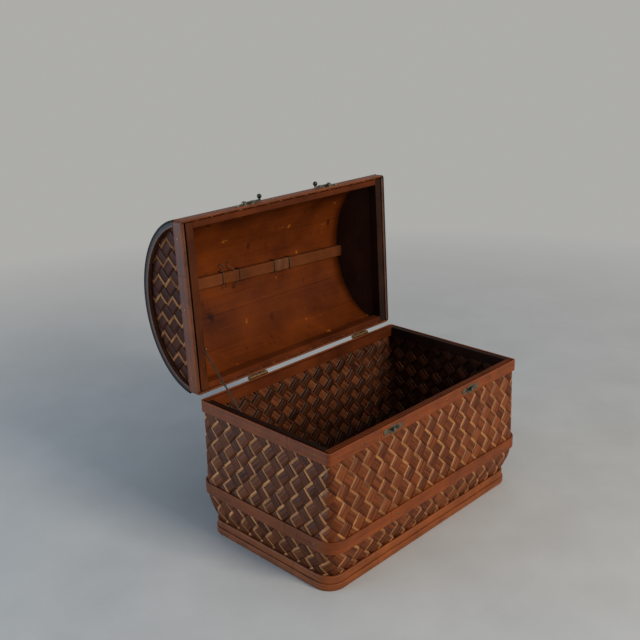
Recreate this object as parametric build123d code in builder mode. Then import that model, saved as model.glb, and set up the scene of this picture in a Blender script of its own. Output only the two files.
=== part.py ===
from build123d import *
from math import cos, radians, sin, sqrt
import os

os.makedirs("parts", exist_ok=True)

# Dome-lidded woven trunk, in millimetres.
# X runs along the trunk, Y from the front to the back, Z up. The origin is under the middle of the body.
# The lid is drawn shut and then turned open about its hinge line, which is how the trunk rests.

# Body sizes
trunk_length = 400.0
trunk_width = 240.0
body_height = 198.0
weave_thickness = 2.4
band_thickness = 2.6

# Rim of the body
rim_band_height = 16.5
rim_corner_radius = 5.5
rim_strip_height = 14.5
rim_strip_thickness = 7.0

# Waist band
waist_bottom = 61.0
waist_band_height = 16.8
waist_bulge_ends = 5.5
waist_bulge_sides = 7.7
waist_corner_radius = 23.5

# Base
base_lower_height = 9.3
base_upper_height = 10.8
base_length = 400.5
base_width = 234.5
base_corner_radius = 25.5
base_step = 1.8
base_ledge = 4.0
base_upper_thickness = 3.5
taper_steps = 5
taper_curve = 1.7
batten_width = 24.0
batten_count = 3

# Lid
lid_open_angle = 92.5
lid_gap = 0.6
lid_band_height = 16.0
lid_corner_radius = 5.5
lid_strip_height = 15.0
lid_strip_thickness = 8.0
lid_end_strip_thickness = 12.0
dome_crown = 94.5
lining_thickness = 1.6
hoop_thickness = 2.5
hoop_width = 10.0
edging_width = 7.0
panel_recess = 6.0
end_board_thickness = 10.5

# Slat inside the crown, and the handle tied to it through the dome
slat_width = 17.0
slat_thickness = 9.0
slat_skew = 2.2
handle_centre_x = -5.5
handle_width = 15.0
handle_thickness = 5.0
handle_foot_start = 33.0
handle_foot_end = 74.0
handle_bend = 75.0
handle_foot_bend_radius = 8.0
tie_inner_x = 35.0
tie_outer_x = 67.5
tie_wire = 1.4
tie_clearance = 0.2
whipping_thickness = 0.8

# Hinges
hinge_left_from_end = 109.5
hinge_right_from_end = 71.5
hinge_length = 34.0
hinge_leaf_height = 12.5
leaf_thickness = 1.4
knuckle_radius = 2.8
knuckle_count = 5
knuckle_gap = 0.2
hinge_pin_radius = 1.2
hinge_running_gap = 0.05
hinge_turning_room = 0.8
pin_head_radius = 2.0
pin_head_thickness = 0.8

# Latches
latch_x = 83.5
latch_plate_thickness = 1.0
latch_plate_lobe = 4.5
latch_plate_centre_radius = 6.5
latch_plate_half_span = 13.5
peg_radius = 1.5
peg_head_radius = 2.7
peg_head_thickness = 0.9
hook_thickness = 1.6
hook_side_gap = 0.7
hook_running_gap = 0.06
hook_slot_gap = 0.3
hook_eye_radius = 3.9
hook_arm_width = 4.2
hook_lobe_radius = 4.3
hook_reach_past_peg = 11.4
knob_radius = 3.4
knob_stem_radius = 1.5
knob_centre_height = 7.6

# Stay cord
cord_radius = 1.3
cord_anchor_lid_distance = 62.0
cord_anchor_lid_height = 6.0
cord_anchor_body_y = 48.5
cord_anchor_body_drop = 7.5
anchor_disc_radius = 3.2
anchor_disc_thickness = 1.0
anchor_post_radius = 1.2
anchor_head_radius = 2.4
anchor_gap = 0.4
cord_end_gap = 0.1

# Small fixings
nail_radius = 1.5
nail_height = 0.6
screw_radius = 1.7
screw_height = 0.5
nail_from_end = 16.0
nail_from_latch = 52.0
nail_from_hinge = 30.0

# Values that follow from the sizes above
half_length = trunk_length / 2
half_width = trunk_width / 2
hinge_left_x = hinge_left_from_end - half_length
hinge_right_x = half_length - hinge_right_from_end
weave_length = trunk_length - 2 * band_thickness
weave_width = trunk_width - 2 * band_thickness
weave_corner = rim_corner_radius - band_thickness
inner_length = weave_length - 2 * weave_thickness
inner_width = weave_width - 2 * weave_thickness
inner_corner = weave_corner - weave_thickness
rim_bottom = body_height - rim_band_height
waist_top = waist_bottom + waist_band_height
waist_length = weave_length + 2 * waist_bulge_ends
waist_width = weave_width + 2 * waist_bulge_sides
waist_corner = waist_corner_radius - band_thickness
base_top = base_lower_height + base_upper_height
upper_length = base_length - 2 * base_step
upper_width = base_width - 2 * base_step
upper_corner = base_corner_radius - base_step
foot_length = upper_length - 2 * base_upper_thickness
foot_width = upper_width - 2 * base_upper_thickness
foot_corner = upper_corner - base_upper_thickness
lid_bottom = body_height + lid_gap
hinge_y = half_width + knuckle_radius + hinge_turning_room
hinge_z = body_height + lid_gap / 2
hinge_line = Axis((0, hinge_y, hinge_z), (1, 0, 0))
dome_base_half = weave_width / 2
dome_half = dome_base_half / sqrt(1 - (lid_band_height / dome_crown) ** 2)
panel_outer_x = half_length - panel_recess
panel_inner_x = panel_outer_x - weave_thickness
lining_x = panel_inner_x - end_board_thickness
lining_inset = weave_thickness + lining_thickness


def save(shape, name):
    shape.label = name
    export_step(shape, "parts/" + name + ".step")


def save_on_lid(shape, name):
    save(shape.rotate(hinge_line, -lid_open_angle), name)


def ring(z, height, outer, outer_radius, inner, inner_radius):
    with BuildPart() as band:
        with BuildSketch(Plane.XY.offset(z)):
            RectangleRounded(outer[0], outer[1], outer_radius)
            if inner_radius > 0:
                RectangleRounded(inner[0], inner[1], inner_radius, mode=Mode.SUBTRACT)
            else:
                Rectangle(inner[0], inner[1], mode=Mode.SUBTRACT)
        extrude(amount=height)
    return band.part


def block(x0, x1, y0, y1, z0, z1):
    with BuildPart() as solid:
        with Locations(((x0 + x1) / 2, (y0 + y1) / 2, (z0 + z1) / 2)):
            Box(abs(x1 - x0), abs(y1 - y0), abs(z1 - z0))
    return solid.part


def dome_face(inset, above):
    # The outline of the lid's end, moved in by inset and kept only above the given height over the rim
    with BuildSketch() as face:
        with Locations((0, lid_bottom)):
            Ellipse(dome_half - inset, dome_crown - inset)
            Rectangle(
                2 * (dome_base_half - inset), dome_crown - inset + 1,
                align=(Align.CENTER, Align.MIN), mode=Mode.INTERSECT,
            )
        if above > 0:
            with Locations((0, lid_bottom)):
                Rectangle(2 * trunk_width, 2 * above, mode=Mode.SUBTRACT)
    return face.sketch


def dome_shell(outer_inset, inner_inset, above, x0, x1):
    with BuildPart() as shell:
        with BuildSketch(Plane.YZ.offset(x0)):
            add(dome_face(outer_inset, above))
            if inner_inset is not None:
                add(dome_face(inner_inset, above), mode=Mode.SUBTRACT)
        extrude(amount=x1 - x0)
    return shell.part


# The woven body: straight under the rim, swelling a little to the waist, then curved in to the base
def weave_levels():
    levels = [(body_height, weave_length, weave_width, weave_corner)]
    levels.append((rim_bottom, weave_length, weave_width, weave_corner))
    levels.append((waist_top, waist_length, waist_width, waist_corner))
    for step in range(taper_steps + 1):
        share = step / taper_steps
        pull = share ** taper_curve
        levels.append((
            waist_bottom - share * (waist_bottom - base_top),
            waist_length - pull * (waist_length - foot_length),
            waist_width - pull * (waist_width - foot_width),
            waist_corner + share * (foot_corner - waist_corner),
        ))
    levels.append((base_lower_height, foot_length, foot_width, foot_corner))
    return levels


levels = weave_levels()
with BuildPart() as whole_weave:
    for z, length, width, corner in levels:
        with BuildSketch(Plane.XY.offset(z)):
            RectangleRounded(length, width, corner)
    loft(ruled=True)
    for z, length, width, corner in levels:
        with BuildSketch(Plane.XY.offset(z)):
            RectangleRounded(
                length - 2 * weave_thickness, width - 2 * weave_thickness, corner - weave_thickness
            )
    loft(ruled=True, mode=Mode.SUBTRACT)

# The weave comes in panels, four flat sides and four rounded corners, above and below the waist
waist_middle = waist_bottom + waist_band_height / 2
corner_x = waist_length / 2 - waist_corner
corner_y = waist_width / 2 - waist_corner


def weave_panels(z0, z1):
    panels = []
    for x0, x1 in ((-trunk_length, -corner_x), (-corner_x, corner_x), (corner_x, trunk_length)):
        for y0, y1 in ((-trunk_width, -corner_y), (-corner_y, corner_y), (corner_y, trunk_width)):
            if x1 != corner_x or y1 != corner_y:
                with BuildPart() as panel:
                    add(whole_weave.part)
                    with Locations(((x0 + x1) / 2, (y0 + y1) / 2, (z0 + z1) / 2)):
                        Box(x1 - x0, y1 - y0, z1 - z0, mode=Mode.INTERSECT)
                panels.extend(panel.part.solids())
    return Compound(panels)


save(weave_panels(waist_middle, body_height), "body_weave_upper")
save(weave_panels(base_lower_height, waist_middle), "body_weave_lower")

with BuildPart() as body_floor:
    with BuildSketch(Plane.XY.offset(base_lower_height)):
        RectangleRounded(
            foot_length - 2 * weave_thickness, foot_width - 2 * weave_thickness,
            foot_corner - weave_thickness,
        )
    extrude(amount=weave_thickness)
save(body_floor.part, "body_floor")

# Base bands and the battens under the floor
ledge_length = foot_length - 2 * base_ledge
ledge_width = foot_width - 2 * base_ledge
ledge_corner = foot_corner - base_ledge
save(
    ring(0, base_lower_height, (base_length, base_width), base_corner_radius,
         (ledge_length, ledge_width), ledge_corner),
    "base_band_lower",
)
save(
    ring(base_lower_height, base_upper_height, (upper_length, upper_width), upper_corner,
         (foot_length, foot_width), foot_corner),
    "base_band_upper",
)
batten_pitch = ledge_length / (batten_count + 1)
with BuildPart() as base_battens:
    with Locations((0, 0, base_lower_height / 2)):
        with GridLocations(batten_pitch, 0, batten_count, 1):
            Box(batten_width, ledge_width, base_lower_height)
save(base_battens.part, "base_battens")

# Waist and rim bands, and the strips round the inside of the rim
save(
    ring(waist_bottom, waist_band_height,
         (waist_length + 2 * band_thickness, waist_width + 2 * band_thickness), waist_corner_radius,
         (waist_length, waist_width), waist_corner),
    "waist_band",
)
save(
    ring(rim_bottom, rim_band_height, (trunk_length, trunk_width), rim_corner_radius,
         (weave_length, weave_width), weave_corner),
    "rim_band",
)
strip_bottom = body_height - rim_strip_height
strip_centre_y = inner_width / 2 - rim_strip_thickness / 2
strip_centre_x = inner_length / 2 - rim_strip_thickness / 2
for side, name in ((-1, "rim_strip_front"), (1, "rim_strip_back")):
    with BuildPart() as rim_strip:
        with BuildSketch(Plane.XY.offset(strip_bottom)):
            RectangleRounded(inner_length, inner_width, inner_corner)
            with Locations((0, side * strip_centre_y)):
                Rectangle(inner_length, rim_strip_thickness, mode=Mode.INTERSECT)
        extrude(amount=rim_strip_height)
    save(rim_strip.part, name)
for side, name in ((-1, "rim_strip_left"), (1, "rim_strip_right")):
    with BuildPart() as rim_strip:
        with BuildSketch(Plane.XY.offset(strip_bottom)):
            with Locations((side * strip_centre_x, 0)):
                Rectangle(rim_strip_thickness, inner_width - 2 * rim_strip_thickness)
        extrude(amount=rim_strip_height)
    save(rim_strip.part, name)

# Lid: woven dome, drilled at the ties
tie_places = [handle_centre_x + x for x in (-tie_outer_x, -tie_inner_x, tie_inner_x, tie_outer_x)]
tie_inside = slat_width / 2 + tie_clearance
tie_outside = tie_inside + tie_wire
hole_width = tie_wire + 2 * tie_clearance


# The slat, the handle and its ties lie a little askew, turned together about the upright through the crown
def askew(shape):
    return shape.rotate(Axis.Z, slat_skew)


def with_tie_holes(shape):
    with BuildPart() as drills:
        with Locations(*[
            (x, side * (tie_inside + tie_outside) / 2, lid_bottom + dome_crown)
            for x in tie_places for side in (-1, 1)
        ]):
            Box(hole_width, hole_width, 4 * lining_inset)
    with BuildPart() as drilled:
        add(shape)
        add(askew(drills.part), mode=Mode.SUBTRACT)
    return drilled.part


save_on_lid(
    with_tie_holes(dome_shell(0, weave_thickness, 0, -panel_outer_x, panel_outer_x)), "lid_weave"
)
save_on_lid(
    with_tie_holes(dome_shell(weave_thickness, lining_inset, lid_strip_height, -lining_x, lining_x)),
    "lid_lining",
)
for side, name in ((-1, "left"), (1, "right")):
    inner, outer = side * panel_inner_x, side * panel_outer_x
    save_on_lid(dome_shell(weave_thickness, None, 0, inner, outer), "lid_end_" + name)
    save_on_lid(
        dome_shell(weave_thickness, None, lid_strip_height, side * lining_x, inner),
        "lid_end_lining_" + name,
    )
    band_inside = side * (half_length - band_thickness)
    with BuildPart() as edging:
        with BuildSketch(Plane.YZ.offset(outer)):
            add(dome_face(0, 0))
            add(dome_face(edging_width, lid_band_height), mode=Mode.SUBTRACT)
        extrude(amount=band_inside - outer)
        with BuildSketch(Plane.YZ.offset(band_inside)):
            add(dome_face(0, lid_band_height))
            add(dome_face(edging_width, lid_band_height), mode=Mode.SUBTRACT)
        extrude(amount=side * half_length - band_inside)
    save_on_lid(edging.part, "lid_edging_" + name)
    save_on_lid(
        dome_shell(-hoop_thickness, 0, lid_band_height,
                   side * (half_length - hoop_width), side * half_length),
        "lid_hoop_" + name,
    )
save_on_lid(
    ring(lid_bottom, lid_band_height, (trunk_length, trunk_width), lid_corner_radius,
         (weave_length, weave_width), 0),
    "lid_rim_band",
)

# Strips round the inside of the lid's rim, butted between the two end strips
lid_strip_x = panel_inner_x - lid_end_strip_thickness
lid_strip_y = inner_width / 2 - lid_strip_thickness
lid_strip_top = lid_bottom + lid_strip_height
for side, name in ((-1, "left"), (1, "right")):
    save_on_lid(
        block(side * lid_strip_x, side * panel_inner_x, -inner_width / 2, inner_width / 2,
              lid_bottom, lid_strip_top),
        "lid_strip_" + name,
    )
for side, name in ((-1, "front"), (1, "back")):
    save_on_lid(
        block(-lid_strip_x, lid_strip_x, side * lid_strip_y, side * inner_width / 2,
              lid_bottom, lid_strip_top),
        "lid_strip_" + name,
    )

# Slat along the crown, its corners touching the lining and the two end boards
skew = radians(slat_skew)
lining_crown = dome_crown - lining_inset
lining_half = dome_half - lining_inset
slat_half_length = (lining_x - slat_width / 2 * sin(skew)) / cos(skew)
slat_corner_y = slat_half_length * sin(skew) + slat_width / 2 * cos(skew)
slat_top = lid_bottom + lining_crown * sqrt(1 - (slat_corner_y / lining_half) ** 2)
slat_bottom = slat_top - slat_thickness
slat = block(
    -slat_half_length, slat_half_length, -slat_width / 2, slat_width / 2, slat_bottom, slat_top
)
save_on_lid(askew(slat), "lid_slat")

# Handle: a bowed strip on the crown, with a flat foot at each end
crown_top = lid_bottom + dome_crown
bow_radius = handle_foot_start / sin(radians(handle_bend)) - handle_foot_bend_radius
foot_middle = crown_top + handle_thickness / 2
foot_top = crown_top + handle_thickness
with BuildPart() as handle:
    with BuildSketch(Plane.XZ):
        with BuildLine():
            left_foot = Line(
                (handle_centre_x - handle_foot_end, foot_middle),
                (handle_centre_x - handle_foot_start, foot_middle),
            )
            left_bend = JernArc(left_foot @ 1, left_foot % 1, handle_foot_bend_radius, handle_bend)
            bow = JernArc(left_bend @ 1, left_bend % 1, bow_radius, -2 * handle_bend)
            right_bend = JernArc(bow @ 1, bow % 1, handle_foot_bend_radius, handle_bend)
            Line(right_bend @ 1, (handle_centre_x + handle_foot_end, foot_middle))
        trace(line_width=handle_thickness)
    extrude(amount=handle_width / 2, both=True)
save_on_lid(askew(handle.part), "handle")

# Ties: wire loops round the slat and the handle's feet, through the holes in the dome
with BuildPart() as handle_ties:
    for x in tie_places:
        with BuildSketch(Plane.YZ.offset(x - tie_wire / 2)):
            with Locations((0, (slat_bottom + foot_top) / 2)):
                Rectangle(2 * tie_outside, foot_top - slat_bottom + 2 * tie_clearance + 2 * tie_wire)
                Rectangle(
                    2 * tie_inside, foot_top - slat_bottom + 2 * tie_clearance, mode=Mode.SUBTRACT
                )
        extrude(amount=tie_wire)
save_on_lid(askew(handle_ties.part), "handle_ties")

# Whippings: fine turns of cane between the ties, over each foot and round the slat below the right one
whipping_length = tie_outer_x - tie_inner_x - tie_wire - 2 * tie_clearance
whipping_x = (tie_outer_x + tie_inner_x) / 2


def whipping(centre_x, half_inside, z_open, z_closed):
    # A three-sided wrap, open at z_open and closed just past z_closed
    toward = 1 if z_closed > z_open else -1
    with BuildPart() as wrap:
        with BuildSketch(Plane.YZ.offset(centre_x - whipping_length / 2)):
            with Locations((0, (z_open + z_closed + toward * whipping_thickness) / 2)):
                Rectangle(
                    2 * (half_inside + whipping_thickness), abs(z_closed - z_open) + whipping_thickness
                )
            with Locations((0, (z_open + z_closed) / 2)):
                Rectangle(2 * half_inside, abs(z_closed - z_open), mode=Mode.SUBTRACT)
        extrude(amount=whipping_length)
    return wrap.part


left_whipping = handle_centre_x - whipping_x
right_whipping = handle_centre_x + whipping_x
slat_side_top = slat_top - slat_thickness / 4
for centre_x, half_inside, z_open, z_closed, name in (
    (left_whipping, handle_width / 2, crown_top, foot_top, "foot_whipping_left"),
    (right_whipping, handle_width / 2, crown_top, foot_top, "foot_whipping_right"),
    (right_whipping, slat_width / 2, slat_side_top, slat_bottom, "slat_whipping"),
):
    save_on_lid(askew(whipping(centre_x, half_inside, z_open, z_closed)), name)

# Hinges: two leaves and a pin at each place, on the outside of the back
knuckle_pitch = hinge_length / knuckle_count


def hinge_leaf(centre_x, upward, first, bore_radius):
    near = hinge_z + upward * (knuckle_radius - 0.6)
    far = hinge_z + upward * (hinge_leaf_height + knuckle_radius - 0.6)
    own = range(first, knuckle_count, 2)
    start = centre_x - hinge_length / 2
    with BuildPart() as leaf:
        with Locations((centre_x, half_width + leaf_thickness / 2, (near + far) / 2)):
            Box(hinge_length, leaf_thickness, abs(far - near))
        for place in own:
            middle = start + (place + 0.5) * knuckle_pitch
            with Locations((middle, (half_width + hinge_y) / 2, (hinge_z + near) / 2)):
                Box(knuckle_pitch - knuckle_gap, hinge_y - half_width, abs(near - hinge_z))
            with BuildSketch(Plane.YZ.offset(middle - (knuckle_pitch - knuckle_gap) / 2)):
                with Locations((hinge_y, hinge_z)):
                    Circle(knuckle_radius)
            extrude(amount=knuckle_pitch - knuckle_gap)
        with BuildSketch(Plane.YZ.offset(start)):
            with Locations((hinge_y, hinge_z)):
                Circle(bore_radius)
        extrude(amount=hinge_length, mode=Mode.SUBTRACT)
    return leaf.part


def hinge_pin(centre_x):
    with BuildPart() as pin:
        with BuildSketch(Plane.YZ.offset(centre_x - hinge_length / 2)):
            with Locations((hinge_y, hinge_z)):
                Circle(hinge_pin_radius)
        extrude(amount=hinge_length)
        for x in (centre_x - hinge_length / 2 - pin_head_thickness, centre_x + hinge_length / 2):
            with BuildSketch(Plane.YZ.offset(x)):
                with Locations((hinge_y, hinge_z)):
                    Circle(pin_head_radius)
            extrude(amount=pin_head_thickness)
    return pin.part


for hinge_x, name in ((hinge_left_x, "left"), (hinge_right_x, "right")):
    save(hinge_leaf(hinge_x, -1, 0, hinge_pin_radius), "hinge_leaf_body_" + name)
    save(hinge_pin(hinge_x), "hinge_pin_" + name)
    save_on_lid(
        hinge_leaf(hinge_x, 1, 1, hinge_pin_radius + hinge_running_gap), "hinge_leaf_lid_" + name
    )


def heads(places, plane, radius, height):
    # Round heads standing on a plane, at places given in that plane
    with BuildPart() as group:
        with BuildSketch(plane):
            with Locations(*places):
                Circle(radius)
        extrude(amount=height)
    return group.part


# Planes facing out of the front, the back and the two ends
def front_plane(y):
    return Plane(origin=(0, y, 0), x_dir=(1, 0, 0), z_dir=(0, -1, 0))


def back_plane(y):
    return Plane(origin=(0, y, 0), x_dir=(-1, 0, 0), z_dir=(0, 1, 0))


def left_plane(x):
    return Plane(origin=(x, 0, 0), x_dir=(0, -1, 0), z_dir=(-1, 0, 0))


def right_plane(x):
    return Plane(origin=(x, 0, 0), x_dir=(0, 1, 0), z_dir=(1, 0, 0))


leaf_back = back_plane(half_width + leaf_thickness)
screw_offset = knuckle_radius + hinge_leaf_height / 2
screw_spread = hinge_length / 3
hinge_screw_x = [
    shift - hinge_x for hinge_x in (hinge_left_x, hinge_right_x)
    for shift in (-screw_spread, 0, screw_spread)
]
save(
    heads([(x, hinge_z - screw_offset) for x in hinge_screw_x], leaf_back, screw_radius, screw_height),
    "hinge_screws_body",
)
save_on_lid(
    heads([(x, hinge_z + screw_offset) for x in hinge_screw_x], leaf_back, screw_radius, screw_height),
    "hinge_screws_lid",
)

# Latches: a lobed plate with a headed peg on the lid and on the body, and a swinging hook between them
catch_z = body_height - rim_band_height / 2
pivot_z = lid_bottom + lid_band_height / 2
latch_reach = pivot_z - catch_z
plate_face = -half_width - latch_plate_thickness
hook_back = plate_face - hook_side_gap
hook_front = hook_back - hook_thickness
peg_shoulder = hook_front - hook_side_gap


def lobed_plate(centre_x, centre_z):
    with BuildPart() as plate:
        with BuildSketch(front_plane(-half_width)):
            with Locations((centre_x, centre_z)):
                Circle(latch_plate_centre_radius)
                Rectangle(2 * latch_plate_half_span, latch_plate_lobe)
            with Locations(
                (centre_x - latch_plate_half_span, centre_z), (centre_x + latch_plate_half_span, centre_z)
            ):
                Circle(latch_plate_lobe)
        extrude(amount=latch_plate_thickness)
        with BuildSketch(front_plane(plate_face)):
            with Locations((centre_x, centre_z)):
                Circle(peg_radius)
        extrude(amount=plate_face - peg_shoulder)
        with BuildSketch(front_plane(peg_shoulder)):
            with Locations((centre_x, centre_z)):
                Circle(peg_head_radius)
        extrude(amount=peg_head_thickness)
    return plate.part


def latch_hook(side):
    # Drawn parked: the arm lies along X towards the middle of the trunk, its slot open downwards
    toward = -side
    slot_half = peg_radius + hook_slot_gap
    pivot_x = side * latch_x
    peg_x = pivot_x + toward * latch_reach
    tail_x = peg_x + toward * hook_reach_past_peg
    with BuildPart() as hook:
        with BuildSketch(front_plane(hook_back)):
            with Locations((pivot_x, pivot_z)):
                Circle(hook_eye_radius)
            with Locations(((pivot_x + tail_x) / 2, pivot_z)):
                Rectangle(abs(tail_x - pivot_x), hook_arm_width)
            with Locations((peg_x, pivot_z)):
                Circle(hook_lobe_radius)
            with Locations((tail_x, pivot_z)):
                Circle(hook_arm_width / 2)
            with Locations((pivot_x, pivot_z)):
                Circle(peg_radius + hook_running_gap, mode=Mode.SUBTRACT)
            with Locations((peg_x, pivot_z)):
                Circle(slot_half, mode=Mode.SUBTRACT)
                Rectangle(
                    2 * slot_half, 2 * hook_lobe_radius, align=(Align.CENTER, Align.MAX),
                    mode=Mode.SUBTRACT,
                )
        extrude(amount=hook_thickness)
        with BuildSketch(front_plane(hook_front)):
            with Locations((tail_x, pivot_z)):
                Circle(knob_stem_radius)
        extrude(amount=hook_front + half_width + knob_centre_height)
        with Locations((tail_x, -half_width - knob_centre_height, pivot_z)):
            Sphere(knob_radius)
    return hook.part


front_face = front_plane(plate_face)
plate_screws = [
    side * latch_x + shift for side in (-1, 1)
    for shift in (-latch_plate_half_span, latch_plate_half_span)
]
for side, name in ((-1, "left"), (1, "right")):
    save(lobed_plate(side * latch_x, catch_z), "catch_plate_" + name)
    save_on_lid(lobed_plate(side * latch_x, pivot_z), "latch_plate_" + name)
    save_on_lid(latch_hook(side), "latch_hook_" + name)
save(
    heads([(x, catch_z) for x in plate_screws], front_face, screw_radius, hook_side_gap / 2),
    "catch_screws",
)
save_on_lid(
    heads([(x, pivot_z) for x in plate_screws], front_face, screw_radius, hook_side_gap / 2),
    "latch_screws",
)

# Stay cord on the left: taut when the lid is open, and what stops it there
body_strip_face = -inner_length / 2 + rim_strip_thickness
lid_strip_face = -lid_strip_x
post_middle = anchor_disc_thickness + anchor_gap + cord_radius
body_anchor = (cord_anchor_body_y, body_height - cord_anchor_body_drop)
lid_anchor_shut = (hinge_y - cord_anchor_lid_distance, lid_bottom + cord_anchor_lid_height)
lid_anchor_arm = Vector(0, lid_anchor_shut[0] - hinge_y, lid_anchor_shut[1] - hinge_z)
lid_anchor_point = lid_anchor_arm.rotate(Axis.X, -lid_open_angle) + Vector(
    lid_strip_face + post_middle, hinge_y, hinge_z
)


def cord_anchor(face_x, place):
    disc_x = face_x + anchor_disc_thickness
    head_x = face_x + 2 * post_middle - anchor_disc_thickness
    with BuildPart() as anchor:
        for x, radius, length in (
            (face_x, anchor_disc_radius, anchor_disc_thickness),
            (disc_x, anchor_post_radius, head_x - disc_x),
            (head_x, anchor_head_radius, anchor_disc_thickness),
        ):
            with BuildSketch(Plane.YZ.offset(x)):
                with Locations(place):
                    Circle(radius)
            extrude(amount=length)
    return anchor.part


save(cord_anchor(body_strip_face, body_anchor), "cord_anchor_body")
save_on_lid(cord_anchor(lid_strip_face, lid_anchor_shut), "cord_anchor_lid")

cord_from = Vector(body_strip_face + post_middle, body_anchor[0], body_anchor[1])
cord_run = (lid_anchor_point - cord_from).normalized()
cord_start = cord_from + cord_run * (anchor_post_radius + cord_end_gap)
cord_length = (lid_anchor_point - cord_from).length - 2 * (anchor_post_radius + cord_end_gap)
with BuildPart() as stay_cord:
    with BuildSketch(Plane(origin=cord_start, z_dir=cord_run)):
        Circle(cord_radius)
    extrude(amount=cord_length)
save(stay_cord.part, "stay_cord")

# Nails through the bands, with low round heads
corner_nails = [nail_from_end - half_length, half_length - nail_from_end]
front_nails = corner_nails + [
    side * latch_x + shift for side in (-1, 1) for shift in (-nail_from_latch, nail_from_latch)
]
back_nails = corner_nails + [
    shift - hinge_x for hinge_x in (hinge_left_x, hinge_right_x)
    for shift in (-nail_from_hinge, nail_from_hinge)
]
waist_nails = [share * trunk_length for share in (-0.4, -0.2, 0.0, 0.2, 0.4)]
end_nails = [share * trunk_width for share in (-0.4, 0.0, 0.4)]
waist_half_length = waist_length / 2 + band_thickness
waist_half_width = waist_width / 2 + band_thickness
with BuildPart() as band_nails_body:
    add(heads([(x, catch_z) for x in front_nails], front_plane(-half_width), nail_radius, nail_height))
    add(heads([(x, catch_z) for x in back_nails], back_plane(half_width), nail_radius, nail_height))
    add(heads([(y, catch_z) for y in end_nails], left_plane(-half_length), nail_radius, nail_height))
    add(heads([(y, catch_z) for y in end_nails], right_plane(half_length), nail_radius, nail_height))
    add(heads([(x, waist_middle) for x in waist_nails], front_plane(-waist_half_width),
              nail_radius, nail_height))
    add(heads([(x, waist_middle) for x in waist_nails], back_plane(waist_half_width),
              nail_radius, nail_height))
    add(heads([(y, waist_middle) for y in end_nails], left_plane(-waist_half_length),
              nail_radius, nail_height))
    add(heads([(y, waist_middle) for y in end_nails], right_plane(waist_half_length),
              nail_radius, nail_height))
save(band_nails_body.part, "band_nails_body")

with BuildPart() as band_nails_lid:
    add(heads([(x, pivot_z) for x in front_nails], front_plane(-half_width), nail_radius, nail_height))
    add(heads([(x, pivot_z) for x in back_nails], back_plane(half_width), nail_radius, nail_height))
    add(heads([(y, pivot_z) for y in end_nails], left_plane(-half_length), nail_radius, nail_height))
    add(heads([(y, pivot_z) for y in end_nails], right_plane(half_length), nail_radius, nail_height))
save_on_lid(band_nails_lid.part, "band_nails_lid")
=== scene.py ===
import math
import random
from bisect import bisect_right

import bmesh
import bpy
from mathutils import Matrix, Vector
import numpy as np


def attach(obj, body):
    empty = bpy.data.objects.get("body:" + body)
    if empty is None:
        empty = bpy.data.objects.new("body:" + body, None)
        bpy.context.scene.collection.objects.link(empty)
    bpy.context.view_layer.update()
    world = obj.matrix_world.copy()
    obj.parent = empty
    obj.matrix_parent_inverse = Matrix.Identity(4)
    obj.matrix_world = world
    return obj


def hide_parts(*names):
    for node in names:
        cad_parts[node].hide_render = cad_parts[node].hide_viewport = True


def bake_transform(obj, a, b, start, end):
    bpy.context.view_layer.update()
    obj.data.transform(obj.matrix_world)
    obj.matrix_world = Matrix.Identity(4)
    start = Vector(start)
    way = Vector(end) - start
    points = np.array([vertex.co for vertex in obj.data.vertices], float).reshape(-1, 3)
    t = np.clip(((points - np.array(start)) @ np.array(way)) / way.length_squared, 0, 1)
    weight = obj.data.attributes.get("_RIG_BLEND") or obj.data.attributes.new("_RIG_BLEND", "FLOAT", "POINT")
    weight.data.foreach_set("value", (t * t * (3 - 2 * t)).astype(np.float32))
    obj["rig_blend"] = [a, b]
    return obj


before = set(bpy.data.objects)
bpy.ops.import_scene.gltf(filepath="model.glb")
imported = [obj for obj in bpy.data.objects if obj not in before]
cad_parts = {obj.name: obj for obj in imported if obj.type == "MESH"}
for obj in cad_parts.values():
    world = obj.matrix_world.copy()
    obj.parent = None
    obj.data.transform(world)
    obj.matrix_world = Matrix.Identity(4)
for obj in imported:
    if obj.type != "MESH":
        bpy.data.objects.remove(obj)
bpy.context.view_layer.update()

# Woven trunk with a domed lid. Sizes are in millimetres and become metres when a piece is finished.
# Lid pieces are drawn with the lid shut and then turned open about the hinge line.

# Body
trunk_length = 400.0
trunk_width = 240.0
body_height = 198.0
weave_thickness = 2.4
band_thickness = 2.6
rim_band_height = 16.5
rim_corner = 5.5
waist_bottom = 61.0
waist_band_height = 16.8
waist_bulge_ends = 5.5
waist_bulge_sides = 7.7
waist_corner = 23.5
base_lower_height = 9.3
base_upper_height = 10.8
base_length = 400.5
base_width = 234.5
base_corner = 25.5
base_step = 1.8
base_upper_thickness = 3.5
taper_curve = 1.7

# Lid
lid_angle = math.radians(92.5)
lid_bottom = body_height + 0.6
lid_band_height = 16.0
lid_strip_height = 15.0
dome_crown = 94.5
lining_inset = 4.0
panel_recess = 6.0
end_board = 10.5
hinge_y = 123.6
hinge_z = 198.3
slat_skew = math.radians(2.2)
slat_width = 17.0
slat_thickness = 9.0
handle_centre = -5.5
handle_width = 15.0
handle_thickness = 5.0
tie_wire = 1.4
tie_outer = 67.5
tie_inner = 35.0
tie_corner = 1.2
tie_tail_radius = 0.55
fitting_gap = 0.2

whipping_thickness = 0.8
whipping_wall = 0.3
whipping_corner = 1.6
whipping_turns = 17

# Stay cord between its two posts, the upper one given with the lid shut
cord_low = (-185.3, 48.5, 190.5)
cord_high_shut = (-176.9, 61.6, 204.6)
cord_radius = 1.3
cord_end_gap = 1.3
strand_count = 3
strand_radius = cord_radius * 0.56
strand_turn = 8.5

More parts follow.
